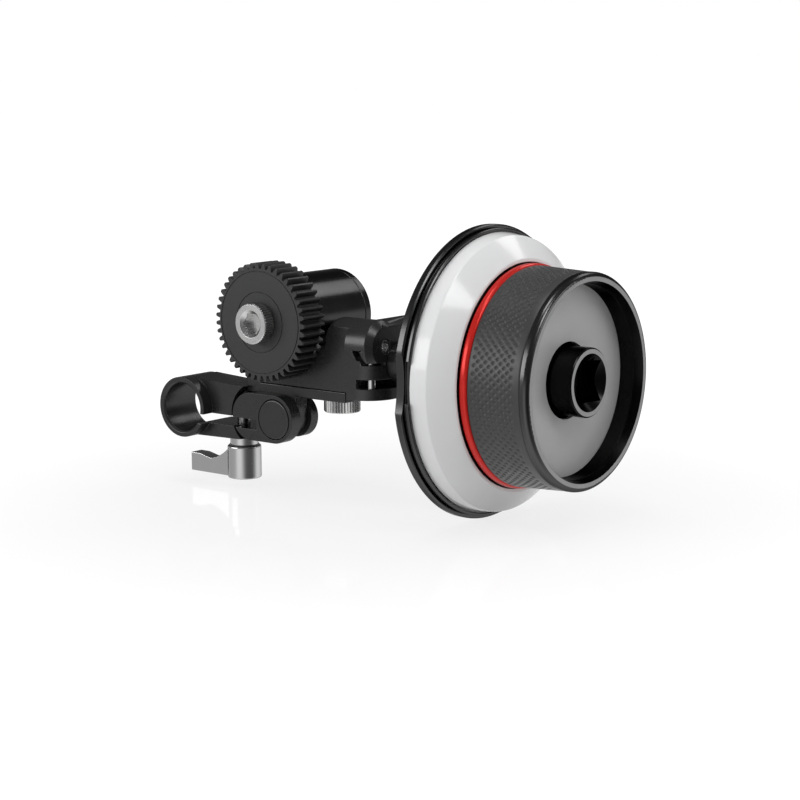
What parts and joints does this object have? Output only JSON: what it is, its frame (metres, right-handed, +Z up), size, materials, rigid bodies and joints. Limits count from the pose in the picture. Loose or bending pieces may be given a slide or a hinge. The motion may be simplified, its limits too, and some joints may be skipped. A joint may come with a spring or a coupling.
{
  "type": "follow focus unit",
  "caption": "Follow focus unit for a camera support rod: rod clamp with lever, swing arm, lens gear on a drum, and a large hand wheel with a white marking disk.",
  "frame": {"origin": "centre of the 15 mm rod bore", "axes": "+X along the hand wheel axis, out through the face of the hand wheel; +Y along the rod and the lens gear's axis, from the gear's front face to the drum's rear; +Z up"},
  "size_m": [0.1488, 0.0843, 0.085],
  "materials": {
    "black_anodised": "satin black anodised",
    "black_gloss": "polished black anodised",
    "black_nylon": "glass-filled nylon",
    "satin_silver": "satin bead-blasted",
    "bright_steel": "turned",
    "dark_steel": "black oxide",
    "spring_steel": "spring steel",
    "brass": "machined",
    "bronze": "sintered bronze",
    "white_plastic": "white write-on surface",
    "red_anodised": "red anodised",
    "black_rubber": "diamond knurled"
  },
  "bodies": {
    "clamp": {"clamp_body": "black_anodised", "pivot_plug": "black_anodised", "button_spring": "spring_steel"},
    "button": {"push_button": "black_anodised"},
    "screw": {"clamp_screw": "dark_steel", "clamp_collar": "satin_silver", "seal_ring": "black_rubber", "lever_screw": "dark_steel", "lever_spring": "spring_steel"},
    "lever": {"clamp_lever": "satin_silver"},
    "arm": {"swing_arm": "black_anodised"},
    "case": {"carriage": "black_anodised", "pinch_screw": "bright_steel", "nose_screw": "dark_steel", "drum_housing": "black_gloss", "drum_end_cap": "black_gloss", "drum_cap_screws": "dark_steel", "front_bearing": "bright_steel", "rear_bearing": "bright_steel", "spindle_housing": "black_anodised", "pilot_bush": "bronze", "inner_bearing": "bright_steel", "outer_bearing": "bright_steel"},
    "thumb": {"thumb_screw": "bright_steel"},
    "output": {"output_shaft": "bright_steel", "output_gear": "brass", "drive_gear": "black_nylon", "gear_screw": "bright_steel"},
    "wheel": {"wheel_shaft": "bright_steel", "wheel_gear": "dark_steel", "shaft_clip": "spring_steel", "knob_body": "black_anodised", "backing_ring": "black_gloss", "disk_magnets": "bright_steel", "red_ring": "red_anodised", "rubber_grip": "black_rubber", "front_rim": "black_gloss", "face_plate": "black_anodised", "drive_hub": "black_gloss", "hub_screw": "dark_steel"},
    "disk": {"marking_disk": "white_plastic"}
  },
  "joints": [
    {"name": "button_press", "type": "slide", "parent": "clamp", "child": "button", "axis": [0, 1, 0], "range_m": [0, 0.0015], "stiffness_N_per_m": 400, "springref_m": -0.002, "deforming": ["button_spring"]},
    {"name": "clamp_turn", "type": "hinge", "parent": "clamp", "child": "screw", "pos_m": [0.0172, 0.00275, -0.01], "axis": [0, 0, 1], "range_deg": [-30, 150]},
    {"name": "lever_lift", "type": "slide", "parent": "screw", "child": "lever", "axis": [0, 0, -1], "range_m": [0, 0.0025], "stiffness_N_per_m": 500, "springref_m": -0.002, "deforming": ["lever_spring"]},
    {"name": "arm_swing", "type": "hinge", "parent": "clamp", "child": "arm", "pos_m": [0.036, 0.0027, -0.0007], "axis": [0, 1, 0], "range_deg": [0, 80]},
    {"name": "case_slide", "type": "slide", "parent": "arm", "child": "case", "axis": [1, 0, 0], "range_m": [0, 0.007]},
    {"name": "thumb_turn", "type": "hinge", "parent": "case", "child": "thumb", "pos_m": [0.0496, 0.01205, 0.004], "axis": [0, 0, 1], "range_deg": [-180, 180]},
    {"name": "wheel_turn", "type": "hinge", "parent": "case", "child": "wheel", "pos_m": [0.103, 0.01205, 0.01829], "axis": [1, 0, 0], "continuous": true},
    {"name": "output_turn", "type": "hinge", "parent": "case", "child": "output", "pos_m": [0.0359, 0, 0.0296], "axis": [0, 1, 0], "continuous": true},
    {"name": "disk_pull", "type": "slide", "parent": "wheel", "child": "disk", "axis": [1, 0, 0], "range_m": [0, 0.035]}
  ],
  "couplings": [
    {"joint": "output_turn", "follows": "wheel_turn", "ratio": 1}
  ]
}
